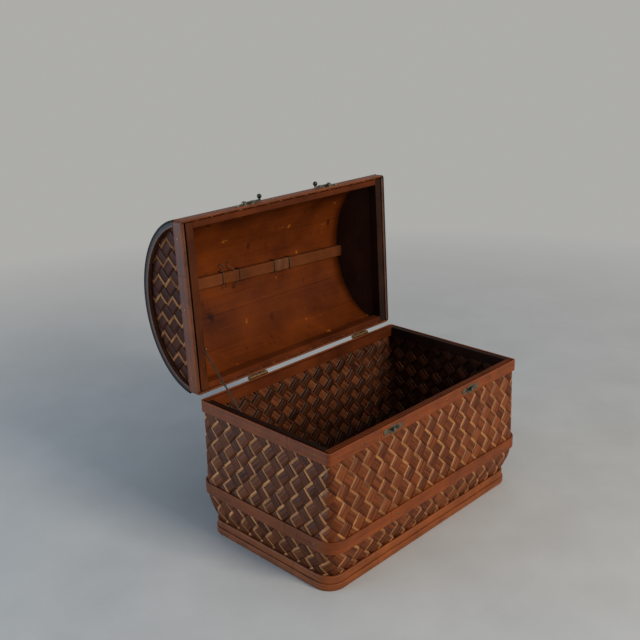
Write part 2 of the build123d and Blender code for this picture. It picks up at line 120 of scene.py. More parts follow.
half_length = trunk_length / 2
half_width = trunk_width / 2
weave_length = trunk_length - 2 * band_thickness
weave_width = trunk_width - 2 * band_thickness
panel_x = half_length - panel_recess
board_x = panel_x - weave_thickness - end_board
dome_base_half = weave_width / 2
dome_half = dome_base_half / math.sqrt(1 - (lid_band_height / dome_crown) ** 2)

hinge_line = Vector((0, hinge_y, hinge_z))
lid_open = (
    Matrix.Translation(hinge_line) @ Matrix.Rotation(-lid_angle, 4, "X")
    @ Matrix.Translation(-hinge_line)
)
metres = Matrix.Scale(0.001, 4)
random.seed(23)

# Camera: its place in metres, its angles, and its focal length in pixels of the photograph
camera_place = (-0.8928, -0.7896, 0.706)
camera_turn = math.radians(45.576)
camera_tilt = math.radians(19.39)
camera_lean = math.radians(-1.393)
focal_pixels = 918.1
picture_pixels = 640
sensor_width = 36.0

camera_data = bpy.data.cameras.new("camera")
camera = bpy.data.objects.new("camera", camera_data)
bpy.context.scene.collection.objects.link(camera)
bpy.context.scene.camera = camera
ahead = Matrix.Rotation(-camera_turn, 3, "Z") @ Vector((0, math.cos(camera_tilt), -math.sin(camera_tilt)))
level = ahead.cross(Vector((0, 0, 1))).normalized()
upright = level.cross(ahead)
right = level * math.cos(camera_lean) + upright * math.sin(camera_lean)
up = upright * math.cos(camera_lean) - level * math.sin(camera_lean)
camera.matrix_world = Matrix.Translation(camera_place) @ Matrix((right, up, -ahead)).transposed().to_4x4()
camera_data.sensor_width = sensor_width
camera_data.lens = focal_pixels / picture_pixels * sensor_width
camera_data.clip_start = 0.05
camera_data.clip_end = 60.0
bpy.context.scene.view_settings.view_transform = "Standard"


# Materials

class Amount:
    """What a node gives. Where that is a number, it can be used in sums."""

    def __init__(self, nodes, socket):
        self.nodes, self.socket = nodes, socket

    def _with(self, operation, first, second):
        return self.nodes.node("ShaderNodeMath", {"operation": operation}, {0: first, 1: second})

    def __add__(self, other):
        return self._with("ADD", self, other)

    def __radd__(self, other):
        return self._with("ADD", other, self)

    def __sub__(self, other):
        return self._with("SUBTRACT", self, other)

    def __rsub__(self, other):
        return self._with("SUBTRACT", other, self)

    def __mul__(self, other):
        return self._with("MULTIPLY", self, other)

    def __rmul__(self, other):
        return self._with("MULTIPLY", other, self)

    def __truediv__(self, other):
        return self._with("DIVIDE", self, other)

    def __rtruediv__(self, other):
        return self._with("DIVIDE", other, self)


class Nodes:
    """The nodes of a material or of the world."""

    def __init__(self, owner):
        owner.use_nodes = True
        self.tree = owner.node_tree

    def node(self, kind, settings, sockets, output=0):
        made = self.tree.nodes.new(kind)
        for name, value in settings.items():
            setattr(made, name, value)
        self.feed(made, sockets)
        return Amount(self, made.outputs[output])

    def feed(self, node, sockets):
        for key, value in sockets.items():
            if isinstance(value, Amount):
                self.tree.links.new(value.socket, node.inputs[key])
            else:
                node.inputs[key].default_value = value

    def spread(self, amount, low, high):
        """0 where the amount is low, 1 where it is high, and even steps between."""
        return self.node(
            "ShaderNodeMapRange", {"clamp": True},
            {"Value": amount, "From Min": low, "From Max": high},
        )

    def shown(self):
        """1 for the rays that show a surface or the sky, 0 for those that it lights others by."""
        camera_ray, glossy_ray, transmission_ray = [
            self.node("ShaderNodeLightPath", {}, {}, ray)
            for ray in ("Is Camera Ray", "Is Glossy Ray", "Is Transmission Ray")
        ]
        return self.spread(camera_ray + glossy_ray + transmission_ray, 0.0, 1.0)


class Finish(Nodes):
    """One material and the nodes that paint it."""

    def __init__(self, name, roughness, **fixed):
        self.material = bpy.data.materials.new(name)
        super().__init__(self.material)
        self.shader = self.tree.nodes["Principled BSDF"]
        self.feed(self.shader, {"Roughness": roughness})
        self.feed(self.shader, {socket.replace("_", " "): value for socket, value in fixed.items()})

    def carried(self, name, output="Vector"):
        """What the points of a piece carry under this name."""
        return self.node("ShaderNodeAttribute", {"attribute_name": name}, {}, output)

    def place(self):
        return self.node("ShaderNodeTexCoord", {}, {}, "Object")

    def part(self, vector, axis):
        return self.node("ShaderNodeSeparateXYZ", {}, {0: vector}, axis)

    def noise(self, vector, scale=1.0, detail=3.0, roughness=0.55):
        return self.node(
            "ShaderNodeTexNoise", {},
            {"Vector": vector, "Scale": scale, "Detail": detail, "Roughness": roughness},
        )

    def grained(self, vector, grain, share=1.0, detail=3.0, roughness=0.55):
        """Noise with so many waves a metre along each axis, or a share of them."""
        waves = tuple(count * share for count in grain)
        stretched = self.node(
            "ShaderNodeVectorMath", {"operation": "MULTIPLY"}, {0: vector, 1: waves}
        )
        return self.noise(stretched, detail=detail, roughness=roughness)

    def mix(self, share, first, second):
        return self.node(
            "ShaderNodeMix", {"data_type": "RGBA"}, {0: share, 6: first, 7: second}, 2
        )

    def shade(self, colour, share):
        """Darker where the share is low, as it was where it is 1."""
        grey = self.node("ShaderNodeCombineColor", {}, {0: share, 1: share, 2: share})
        return self.node(
            "ShaderNodeMix", {"data_type": "RGBA", "blend_type": "MULTIPLY"},
            {0: 1.0, 6: colour, 7: grey}, 2,
        )

    def painted(self, colour, roughness, height, depth):
        """The material with this colour and roughness, and a relief of the depth in metres."""
        relief = self.node("ShaderNodeBump", {}, {"Height": height, "Distance": depth, "Strength": 1.0})
        self.feed(self.shader, {"Base Color": colour, "Roughness": roughness, "Normal": relief})
        return self.material


def colour(red, green, blue):
    return (red, green, blue, 1.0)


edge_black = colour(0.008, 0.005, 0.004)
knot_orange = colour(0.40, 0.13, 0.018)


def woven_strip(
    name, deep, fair, roughness, fibre_depth, patchy=0.5, crossing=0.0, edge_shade=0.3,
    at_front=1.0, elsewhere=1.0, shine=0.14,
):
    # Split bamboo: fine fibres along the strip, worn patches, each strip its own tone. The strips of
    # the second diagonal are darker by the crossing share, and the strips are darkened by one share on
    # the front face and by another elsewhere, which brings the dark and the pale strips closer together
    # there
    finish = Finish(
        name, roughness, Specular_IOR_Level=shine, Coat_Weight=shine * 0.2, Coat_Roughness=0.3
    )
    strand = finish.carried("strand")
    tone = finish.carried("tone", "Fac")
    fibres = finish.grained(strand, (14.0, 430.0, 1.0), detail=5.0, roughness=0.66)
    patches = finish.grained(strand, (62.0, 240.0, 1.0))
    share = finish.spread(tone * 0.28 + fibres * 1.35 + (patches - 0.5) * patchy, 0.545, 1.105)
    base = finish.mix(share, deep, fair)
    # Painted shade: each strip is darker towards its edges, and each cane turn darker in the grooves between
    # turns, for the shade in the gaps between them
    inside_edge = finish.spread(finish.part(strand, "Z"), 1.0, 0.80)
    base = finish.shade(base, inside_edge * edge_shade + (1.0 - edge_shade))
    if crossing:
        base = finish.shade(base, 1.0 - finish.carried("crossing", "Fac") * crossing)
    if at_front != elsewhere:
        from_front = finish.part(finish.carried("drawn"), "Y") + half_width * 0.001
        front = finish.spread(from_front, 0.014, 0.004)
        base = finish.shade(base, front * (at_front - elsewhere) + elsewhere)
    rough = finish.spread(patches, 0.2, 0.8) * 0.25 + (roughness - 0.1)
    return finish.painted(base, rough, fibres, fibre_depth)


def bamboo_band(name, deep, fair, grain, roughness=0.52, rings=True, coat=0.22, black_where=None):
    # Split bamboo laid flat: fibres along it, a few raised rings, wear on the ridges
    finish = Finish(name, roughness, Specular_IOR_Level=0.12, Coat_Weight=coat, Coat_Roughness=0.45)
    drawn = finish.carried("drawn")
    fibres = finish.grained(drawn, grain, detail=5.0, roughness=0.6)
    coarse = finish.grained(drawn, grain, 0.22)
    clouds = finish.noise(drawn, 26.0, 4.0)
    share = finish.spread(fibres * 0.6 + coarse * 0.5 + clouds * 0.8, 0.66, 1.22)
    base = finish.mix(share, deep, fair)
    height = fibres
    if rings:
        rings_a_metre = 5.3
        run = finish.part(drawn, "X") + finish.part(drawn, "Y") * 1.31
        wobble = finish.noise(drawn, 60.0, 2.0) * 0.02
        from_ring = finish.node(
            "ShaderNodeTexVoronoi",
            {"voronoi_dimensions": "1D", "feature": "DISTANCE_TO_EDGE"},
            {"W": run * rings_a_metre + wobble, "Scale": 1.0, "Randomness": 1.0}, "Distance",
        )
        base = finish.shade(base, 1.0 - finish.spread(from_ring, 0.0045, 0.0) * 0.55)
        height = fibres + finish.spread(from_ring, 0.012, 0.0) * 2.5
    scuffs = finish.spread(finish.grained(drawn, grain, 0.5, detail=2.0), 0.6, 0.72)
    base = finish.mix(scuffs * 0.35, base, fair)
    if black_where:
        base = finish.mix(black_where(finish, drawn), base, edge_black)
    rough = finish.spread(clouds, 0.3, 0.75) * 0.22 + (roughness - 0.08)
    return finish.painted(base, rough, height, 0.00022)


def mouth_corner(finish, drawn):
    # The edge and the inner face of the lid's mouth at its right end, coloured black
    from_end = half_length * 0.001 - finish.part(drawn, "X")
    from_mouth = finish.part(drawn, "Z") - lid_bottom * 0.001
    edge = finish.spread(from_end, 0.0070, 0.0035) * finish.spread(from_mouth, 0.0079, 0.0039)
    inner_face = finish.spread(from_end, 0.0045, 0.0030) * finish.spread(from_end, 0.0006, 0.0015)
    return edge + inner_face


def outline_part(finish, drawn):
    # The part of an end panel's edging that lies next to the dome's outline
    across = finish.part(drawn, "Y") / (dome_half * 0.001)
    height = (finish.part(drawn, "Z") - lid_bottom * 0.001) / (dome_crown * 0.001)
    return finish.spread(across * across + height * height, 0.925, 0.945)


def plain_wood(name, deep, fair, grain, seams=0.0, knots=0.0):
    # Thin stained wood with long grain. Where asked, it is boards with stained seams, numbered by
    # what their points carry as strand, and it has knots
    roughness = 0.62
    finish = Finish(name, roughness, Specular_IOR_Level=0.07)
    drawn = finish.carried("drawn")
    streaks = finish.grained(drawn, grain, detail=5.0, roughness=0.62)
    clouds = finish.noise(drawn, 15.0, 4.0)
    base = finish.mix(finish.spread(streaks * 0.4 + clouds, 0.45, 0.98), deep, fair)
    if seams:
        across = finish.part(finish.carried("strand"), "Y")
        board = finish.node("ShaderNodeMath", {"operation": "FLOOR"}, {0: across})
        on_board = across - board
        seam = finish.spread(on_board, 0.020, 0.004) + finish.spread(on_board, 0.984, 0.997)
        faint = finish.spread(finish.grained(drawn, (9.0, 40.0, 40.0)), 0.42, 0.62)
        own_tone = finish.node("ShaderNodeTexWhiteNoise", {"noise_dimensions": "1D"}, {"W": board})
        stains = finish.spread(finish.grained(drawn, (70.0, 34.0, 34.0), detail=2.0), 0.66, 0.76)
        base = finish.shade(base, own_tone * 0.16 + 0.86)
        base = finish.shade(base, 1.0 - seam * faint * seams)
        base = finish.shade(base, 1.0 - stains * 0.6)
    if knots:
        knot = finish.spread(finish.noise(drawn, 60.0), 0.685, 0.775)
        base = finish.mix(knot * knots, base, knot_orange)
    return finish.painted(base, clouds * 0.2 + (roughness - 0.1), streaks, 0.00010)


def worn_metal(name, deep, fair, glow, roughness=0.5):
    # Old metal with a patchy patina, brighter where hands have rubbed it
    finish = Finish(name, roughness, Metallic=1.0)
    place = finish.place()
    clouds = finish.noise(place, 240.0, 5.0, 0.6)
    fine = finish.noise(place, 1400.0)
    base = finish.mix(finish.spread(clouds, 0.35, 0.66), deep, fair)
    sharpness = finish.node("ShaderNodeNewGeometry", {}, {}, "Pointiness")
    rubbed = finish.spread(sharpness + clouds * 0.03, 0.53, 0.56)
    base = finish.mix(rubbed * 0.6, base, glow)
    rough = clouds * 0.3 + fine * 0.12 + (roughness - 0.2)
    return finish.painted(base, rough, clouds * 0.7 + fine * 0.3, 0.00012)


dark_strip = woven_strip(
    "dark_woven_strip", colour(0.047, 0.0095, 0.0020), colour(0.185, 0.046, 0.0105), 0.48, 0.00016,
    crossing=0.10, edge_shade=0.32, elsewhere=0.80,
)
pale_strip = woven_strip(
    "pale_woven_strip", colour(0.17, 0.056, 0.017), colour(0.65, 0.272, 0.094), 0.45, 0.00010,
    patchy=0.8, crossing=0.06, edge_shade=0.2, at_front=0.70,
)
dark_strip_end = woven_strip(
    "dark_strip_end", colour(0.021, 0.0060, 0.0031), colour(0.076, 0.020, 0.0086), 0.48, 0.00014,
    crossing=0.10, edge_shade=0.32, shine=0.06,
)
pale_strip_end = woven_strip(
    "pale_strip_end", colour(0.14, 0.044, 0.013), colour(0.44, 0.180, 0.062), 0.45, 0.00010,
    patchy=0.8, crossing=0.06, edge_shade=0.2, shine=0.06,
)
# Inside faces of the weave: coloured much darker than the outside, painted shade for the shadowed inside of
# the trunk and the lid
dark_strip_inside_shaded = woven_strip(
    "dark_strip_inside_shaded", colour(0.022, 0.006, 0.0025), colour(0.150, 0.044, 0.016), 0.5, 0.00016,
    patchy=0.7, crossing=0.55,
)
pale_strip_inside_shaded = woven_strip(
    "pale_strip_inside_shaded", colour(0.016, 0.0045, 0.0018), colour(0.135, 0.038, 0.013), 0.5, 0.00010,
    patchy=1.4, crossing=0.70,
)
# Cane turns, with painted shade in the grooves between them
cane_wrap = woven_strip(
    "cane_wrap", colour(0.055, 0.017, 0.005), colour(0.175, 0.060, 0.018), 0.45, 0.00005,
    patchy=0.6, edge_shade=0.6,
)
cord_fibre = woven_strip(
    "cord_fibre", colour(0.012, 0.008, 0.006), colour(0.060, 0.040, 0.028), 0.7, 0.00008, patchy=0.6
)

level_grain = (22.0, 22.0, 1100.0)
rim_bamboo = bamboo_band(
    "band_bamboo", colour(0.066, 0.0135, 0.0024), colour(0.208, 0.046, 0.0076), level_grain
)
lid_band_bamboo = bamboo_band(
    "lid_band_bamboo", colour(0.060, 0.015, 0.005), colour(0.185, 0.048, 0.014), level_grain,
    black_where=mouth_corner,
)
base_bamboo = bamboo_band(
    "base_bamboo", colour(0.080, 0.019, 0.005), colour(0.26, 0.070, 0.017), level_grain
)
hoop_dark = bamboo_band(
    "hoop_black", colour(0.005, 0.0030, 0.0024), colour(0.022, 0.011, 0.008), (1100.0, 22.0, 22.0),
    roughness=0.62, rings=False, coat=0.0,
)
edging_brown = bamboo_band(
    "edging_bamboo", colour(0.035, 0.014, 0.009), colour(0.11, 0.042, 0.022), (40.0, 260.0, 260.0),
    rings=False, black_where=outline_part,
)
handle_bamboo = bamboo_band(
    "handle_bamboo", colour(0.11, 0.034, 0.012), colour(0.31, 0.105, 0.036), (16.0, 900.0, 200.0),
    roughness=0.36, rings=False, coat=0.3,
)

across_grain = (500.0, 12.0, 500.0)
strip_wood = plain_wood(
    "rim_strip_wood", colour(0.031, 0.0060, 0.0010), colour(0.116, 0.0235, 0.0043),
    (12.0, 500.0, 500.0),
)
left_strip_wood = plain_wood(
    "left_strip_wood", colour(0.0045, 0.0016, 0.0009), colour(0.019, 0.0050, 0.002), across_grain
)
lid_left_strip_wood = plain_wood(
    "lid_left_strip_wood", colour(0.022, 0.006, 0.002), colour(0.100, 0.024, 0.006), across_grain
)
# A near-black copy of the strip wood for the right-hand strips of the body and lid: painted shade for their
# shadowed inner faces
right_strip_wood_shaded = plain_wood(
    "right_strip_wood_shaded", colour(0.007, 0.0035, 0.0025), colour(0.030, 0.010, 0.005), across_grain
)
lining_wood = plain_wood(
    "lining_wood", colour(0.050, 0.0088, 0.0009), colour(0.142, 0.0275, 0.0025), (9.0, 420.0, 420.0),
    seams=0.55, knots=0.75,
)
slat_wood = plain_wood(
    "slat_wood", colour(0.058, 0.015, 0.004), colour(0.150, 0.040, 0.010), (12.0, 600.0, 600.0)
)
end_board_wood = plain_wood(
    "end_board_wood", colour(0.024, 0.0105, 0.0078), colour(0.074, 0.031, 0.021),
    (60.0, 10.0, 420.0), knots=0.12,
)
batten_wood = plain_wood(
    "batten_wood", colour(0.070, 0.028, 0.012), colour(0.21, 0.090, 0.040), (600.0, 12.0, 600.0)
)

dark_wire = worn_metal(
    "dark_wire", colour(0.012, 0.009, 0.008), colour(0.045, 0.034, 0.027), colour(0.11, 0.085, 0.065)
)
hinge_brass = worn_metal(
    "hinge_brass", colour(0.022, 0.012, 0.005), colour(0.080, 0.044, 0.018), colour(0.20, 0.125, 0.055)
)
latch_bronze = worn_metal(
    "latch_bronze", colour(0.012, 0.012, 0.009), colour(0.060, 0.056, 0.040),
    colour(0.26, 0.24, 0.165), 0.42,
)
nail_metal = worn_metal(
    "nail_metal", colour(0.050, 0.026, 0.012), colour(0.15, 0.085, 0.042), colour(0.30, 0.19, 0.10),
    0.42,
)


# Pieces

def set_down(bm, name, material):
    # Makes an object in metres of a shape drawn in millimetres
    bm.transform(metres)
    for face in bm.faces:
        face.smooth = True
    mesh = bpy.data.meshes.new(name)
    bm.to_mesh(mesh)
    bm.free()
    mesh.materials.append(material)
    made = bpy.data.objects.new(name, mesh)
    bpy.context.scene.collection.objects.link(made)
    return made


def made_piece(bm, name, body, material, stands_for=(), thickness=0.0, inside=None):
    drawn = bm.verts.layers.float_vector.new("drawn")
    for vertex in bm.verts:
        vertex[drawn] = vertex.co * 0.001
    if body != "trunk":
        bm.transform(lid_open)
    made = set_down(bm, name, material)
    if thickness:
        solid = made.modifiers.new("thickness", "SOLIDIFY")
        solid.thickness = thickness * 0.001
        solid.offset = 0.0
        solid.use_even_offset = True
        if inside:
            made.data.materials.append(inside)
            solid.material_offset = 1
    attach(made, body)
    if stands_for:
        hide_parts(*stands_for)
    return made


def softened(node, body, material, width, segments=2):
    # The node's own solid with its sharp edges eased by this width
    sharp_angle = math.radians(32.0)
    flat_angle = math.radians(0.4)
    bm = bmesh.new()
    bm.from_mesh(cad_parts[node].data)
    bm.transform(Matrix.Scale(1000.0, 4))
    if body != "trunk":
        bm.transform(lid_open.inverted())
    bmesh.ops.remove_doubles(bm, verts=bm.verts, dist=0.002)
    bmesh.ops.dissolve_limit(
        bm, angle_limit=flat_angle, verts=bm.verts, edges=bm.edges, use_dissolve_boundaries=False
    )
    edges = [
        edge for edge in bm.edges
        if len(edge.link_faces) == 2 and edge.calc_face_angle(0.0) > sharp_angle
    ]
    bmesh.ops.bevel(
        bm, geom=edges, offset=width, offset_type="OFFSET", segments=segments, profile=0.5,
        affect="EDGES", clamp_overlap=True, material=-1,
    )
    made = made_piece(bm, node + "_piece", body, material, (node,))
    made.data.shade_smooth()
    normals = made.modifiers.new("normals", "WEIGHTED_NORMAL")
    normals.keep_sharp = True


# Weave: strips on both diagonals, a wide dark one and a narrow pale one side by side in each place

weave_cells = 50
body_round = 2 * (weave_length + weave_width)
weave_period = body_round / weave_cells
pitch = weave_period / math.sqrt(2)
pale_shown = 3.5
overlap = 0.55
seam = 0.3
pale_width = pale_shown + 2 * overlap
dark_width = pitch - pale_shown
strip_thickness = 0.72
strip_crown = 0.04
pale_sunk = 0.12
weave_lift = 0.36
rise_fullness = 1.45
wander_length = 23.0
edge_set_back = 3.2
cell_steps = 4


def strip_layers(bm):
    layers = bm.verts.layers
    return (
        layers.float_vector.new("strand"), layers.float.new("tone"),
        layers.float.new("crossing"), layers.float.new("lift"),
    )


def lay_strip(bm, layers, diagonal, place, first_cell, last_cell, width, centre, across_steps, origin):
    # One strip along a diagonal; place is its number among its neighbours, centre its middle line's
    # distance from the lower edge of its place, and diagonal 1 rises to the right, -1 to the left
    strand, tones, crossings, lift = layers
    length = (last_cell - first_cell) * pitch
    middle = (first_cell + last_cell) / 2 * pitch
    side = place * pitch + centre
    if diagonal > 0:
        s, t = middle, side
    else:
        s, t = side, middle
    u, v = (s - t) / math.sqrt(2), (s + t) / math.sqrt(2)
    matrix = (
        Matrix.Translation((origin[0] + u, origin[1] + v, 0))
        @ Matrix.Rotation(math.radians(90 - 45 * diagonal), 4, "Z")
        @ Matrix.Diagonal((length / 2, width / 2, 1, 1))
    )
    new = bmesh.ops.create_grid(
        bm, x_segments=(last_cell - first_cell) * cell_steps, y_segments=across_steps, size=1.0,
        matrix=matrix,
    )["verts"]
    inverse = matrix.inverted()
    seed = random.random() * 40
    tone = random.random()
    drift = random.uniform(0.15, 0.55)
    for vertex in new:
        local = inverse @ vertex.co
        along = middle + local.x * length / 2
        cell = math.floor(along / pitch + 1e-6)
        share = along / pitch - cell
        over = 1 if (cell + place) % 2 == (0 if diagonal > 0 else 1) else -1
        rise = min(1.0, rise_fullness * math.sin(math.pi * max(0.0, min(1.0, share))))
        crown = strip_crown * (1 - local.y ** 2) if width > pale_width else -pale_sunk
        vertex[lift] = weave_lift * over * rise + crown
        # The third part grows to 1 at the strip's edges, where the finish paints shade
        vertex[strand] = (along * 0.001 + seed, local.y * width * 0.0005 + seed, abs(local.y))
        vertex[tones] = tone
        vertex[crossings] = 0.0 if diagonal > 0 else 1.0
        # Strips split by hand: their edges wander a little
        local.y += drift * math.sin(along / wander_length + seed) * 2 / width
        vertex.co = matrix @ local


def woven_sheet(u_range, v_range, origin=(0.0, 0.0), closed=0):
    # Dark and pale strips over a flat rectangle, or round a closed one when its number of cells is given
    sheets = {}
    low_v, high_v = v_range
    corners = [(u - origin[0], v - origin[1]) for u in u_range for v in v_range]
    for kind, width, centre, across_steps in (
        ("dark", dark_width, dark_width / 2, 3),
        ("pale", pale_width, pitch - pale_shown / 2, 1),
    ):
        bm = bmesh.new()
        layers = strip_layers(bm)
        for diagonal in (1, -1):
            sides = [(v - diagonal * u) / math.sqrt(2) for u, v in corners]
            if closed:
                places = range(closed)
            else:
                places = range(math.floor(min(sides) / pitch), math.ceil(max(sides) / pitch))
            for place in places:
                # v = (s + t) / sqrt 2, so the run along the strip follows from the sheet's height
                side = place * pitch
                first = (low_v - origin[1]) * math.sqrt(2) - side
                last = (high_v - origin[1]) * math.sqrt(2) - side
                lay_strip(
                    bm, layers, diagonal, place,
                    math.floor((first - pitch) / pitch), math.ceil(last / pitch),
                    width - seam, centre, across_steps, origin,
                )
        trim(bm, [((0, low_v, 0), (0, -1, 0)), ((0, high_v, 0), (0, 1, 0))])
        if not closed:
            trim(bm, [((u_range[0], 0, 0), (-1, 0, 0)), ((u_range[1], 0, 0), (1, 0, 0))])
        sheets[kind] = bm
    return sheets


def trim(bm, cuts):
    # Each cut is a point and the direction in which everything beyond it is cleared away
    for point, direction in cuts:
        bmesh.ops.bisect_plane(
            bm, geom=bm.verts[:] + bm.edges[:] + bm.faces[:], dist=1e-5,
            plane_co=point, plane_no=direction, clear_outer=True,
        )


outer_faces = {"dark": dark_strip, "pale": pale_strip}
# Faces inside the trunk and the lid, with their painted shade
shaded_inner_faces = {"dark": dark_strip_inside_shaded, "pale": pale_strip_inside_shaded}
end_faces = {"dark": dark_strip_end, "pale": pale_strip_end}


def woven_pieces(sheets, place, name, body, stands_for, cuts=(), front=outer_faces, rear=shaded_inner_faces):
    # Carries each point of the flat sheets to its place on the trunk
    for kind, bm in sheets.items():
        trim(bm, cuts)
        lift = bm.verts.layers.float["lift"]
        for vertex in bm.verts:
            vertex.co = place(vertex.co.x, vertex.co.y, vertex[lift])
        made_piece(
            bm, name + "_" + kind + "_strips", body, front[kind],
            stands_for if kind == "dark" else (), thickness=strip_thickness, inside=rear[kind],
        )


# The body's wall, as the weave's outside
foot_length = base_length - 2 * base_step - 2 * base_upper_thickness
foot_width = base_width - 2 * base_step - 2 * base_upper_thickness
foot_corner = base_corner - base_step - base_upper_thickness
wide_length = weave_length + 2 * waist_bulge_ends
wide_width = weave_width + 2 * waist_bulge_sides
wide_corner = waist_corner - band_thickness
narrow_corner = rim_corner - band_thickness
waist_top = waist_bottom + waist_band_height
base_top = base_lower_height + base_upper_height
rim_bottom = body_height - rim_band_height
quarter_side = weave_length / 2
quarter_end = weave_width / 2


def wall_at(z):
    # The wall's length, width and corner radius at a height
    if z >= rim_bottom:
        return weave_length, weave_width, narrow_corner
    if z >= waist_top:
        share = (rim_bottom - z) / (rim_bottom - waist_top)
        return (
            weave_length + share * (wide_length - weave_length),
            weave_width + share * (wide_width - weave_width),
            narrow_corner + share * (wide_corner - narrow_corner),
        )
    if z >= waist_bottom:
        return wide_length, wide_width, wide_corner
    share = min(1.0, (waist_bottom - z) / (waist_bottom - base_top))
    pull = share ** taper_curve
    return (
        wide_length - pull * (wide_length - foot_length),
        wide_width - pull * (wide_width - foot_width),
        wide_corner + share * (foot_corner - wide_corner),
    )


def round_wall(u, v, lift):
    # u runs round the trunk from the middle of its front, v is the height
    length, width, corner = wall_at(v)
    u = (u + body_round / 2) % body_round - body_round / 2
    back = abs(u) > quarter_side + quarter_end
    run = abs(u)
    if back:
        run = 2 * (quarter_side + quarter_end) - run
    on_side = run <= quarter_side
    if on_side:
        nominal, half, other, reach = quarter_side, length / 2, width / 2, run
    else:
        nominal, half, other, reach = quarter_end, width / 2, length / 2, quarter_side + quarter_end - run
    straight = half - corner
    travel = reach / nominal * (straight + corner * math.pi / 4)
    if travel <= straight:
        along, out, bend = travel, other, 0.0
    else:
        bend = (travel - straight) / corner
        along = straight + corner * math.sin(bend)
        out = other - corner + corner * math.cos(bend)
    shift = lift - weave_thickness / 2
    along += math.sin(bend) * shift
    out += math.cos(bend) * shift
    x, y = (along, out) if on_side else (out, along)
    return Vector((x if u >= 0 else -x, y if back else -y, v))


woven_pieces(
    woven_sheet(
        (0.0, body_round), (base_lower_height, body_height - edge_set_back), closed=weave_cells
    ),
    round_wall, "body_weave", "trunk", ("body_weave_upper", "body_weave_lower"),
)


# The floor, a flat weave inside the foot. Its corners are cut straight, a little inside the foot's
# round ones, which a share of 2 - sqrt 2 would touch
floor_gap = 0.1
floor_corner_share = 0.62
floor_x = foot_length / 2 - weave_thickness - floor_gap
floor_y = foot_width / 2 - weave_thickness - floor_gap
floor_cut = floor_x + floor_y - floor_corner_share * (foot_corner - weave_thickness)


def on_floor(u, v, lift):
    return Vector((u, v, base_lower_height + weave_thickness / 2 + lift))


woven_pieces(
    woven_sheet((-floor_x, floor_x), (-floor_y, floor_y)), on_floor, "floor_weave", "trunk",
    ("body_floor",), [((x * floor_cut, 0, 0), (x, y, 0)) for x in (-1, 1) for y in (-1, 1)],
    shaded_inner_faces, outer_faces,
)


class Path:
    """A line of points that can be walked by distance."""

    def __init__(self, points):
        self.points = [Vector((0.0, y, z)) for y, z in points]
        self.marks = [0.0]
        for here, after in zip(self.points, self.points[1:]):
            self.marks.append(self.marks[-1] + (after - here).length)
        self.length = self.marks[-1]

    def at(self, distance):
        """The point at this distance, and the direction out of the line there."""
        distance = max(0.0, min(self.length, distance))
        high = min(bisect_right(self.marks, distance), len(self.marks) - 1)
        low = high - 1
        step = self.points[high] - self.points[low]
        share = (distance - self.marks[low]) / (self.marks[high] - self.marks[low])
        return self.points[low] + step * share, Vector((0.0, -step.z, step.y)).normalized()


# The lid's dome: a path over the crown from the front edge to the back one
def dome_path(inset, steps=180):
    half, crown = dome_half - inset, dome_crown - inset
    edge = dome_base_half - inset
    start = math.asin(edge / half)
    points = [(-edge, 0.0)]
    for step in range(steps + 1):
        angle = -start + 2 * start * step / steps
        points.append((half * math.sin(angle), crown * math.cos(angle)))
    points.append((edge, 0.0))
    return Path(points)


dome_line = dome_path(weave_thickness / 2)


def over_dome(u, v, lift):
    point, out = dome_line.at(v)
    point = point + out * lift
    return Vector((u, point.y, lid_bottom + point.z))


woven_pieces(
    woven_sheet((-panel_x, panel_x), (edge_set_back, dome_line.length - edge_set_back)), over_dome,
    "lid_weave", "lid", ("lid_weave",),
)

# The lid's two end panels, of slightly wider strips, cut to the dome's shape inside their edging
panel_scale = 1.06
panel_inset = 3.6
panel_margin = 3.0
panel_low = 4.0
panel_shift = 2.0
panel_cut_count = 24
panel_half = (dome_half - panel_inset) / panel_scale
panel_crown = (dome_crown - panel_inset) / panel_scale
panel_cuts = []
for step in range(panel_cut_count + 1):
    angle = math.pi * step / panel_cut_count
    across, rise = math.cos(angle), math.sin(angle)
    panel_cuts.append((
        Vector((panel_half * across, panel_crown * rise, 0)),
        Vector((across / panel_half, rise / panel_crown, 0)).normalized(),
    ))


def end_panel(side, name):
    def on_end(u, v, lift):
        return Vector((
            side * (panel_x - weave_thickness / 2 + lift), -side * u * panel_scale,
            lid_bottom + v * panel_scale,
        ))

    reach = (dome_base_half - panel_margin) / panel_scale
    top = (dome_crown - panel_margin) / panel_scale
    woven_pieces(
        woven_sheet((-reach, reach), (panel_low, top), (panel_shift, panel_low)), on_end,
        name, "lid", (name,), panel_cuts, shaded_inner_faces, end_faces,
    )


end_panel(-1, "lid_end_left")
end_panel(1, "lid_end_right")

# Bands, hoops and strips with eased edges
for node in ("rim_band", "waist_band"):
    softened(node, "trunk", rim_bamboo, 0.8)
for node in ("base_band_lower", "base_band_upper"):
    softened(node, "trunk", base_bamboo, 1.2)
softened("lid_rim_band", "lid", lid_band_bamboo, 0.8)
# The right-hand strips take the copy of the strip wood with painted shade
for name, wood, lid_wood in (
    ("left", left_strip_wood, lid_left_strip_wood), ("right", right_strip_wood_shaded, right_strip_wood_shaded),
):
    softened("lid_hoop_" + name, "lid", hoop_dark, 0.7)
    softened("lid_edging_" + name, "lid", edging_brown, 0.6)
    softened("lid_end_lining_" + name, "lid", end_board_wood, 0.3)
    softened("rim_strip_" + name, "trunk", wood, 0.6)
    softened("lid_strip_" + name, "lid", lid_wood, 0.7)
for name in ("front", "back"):
    softened("rim_strip_" + name, "trunk", strip_wood, 0.6)
    softened("lid_strip_" + name, "lid", strip_wood, 0.7)
softened("base_battens", "trunk", batten_wood, 0.8)

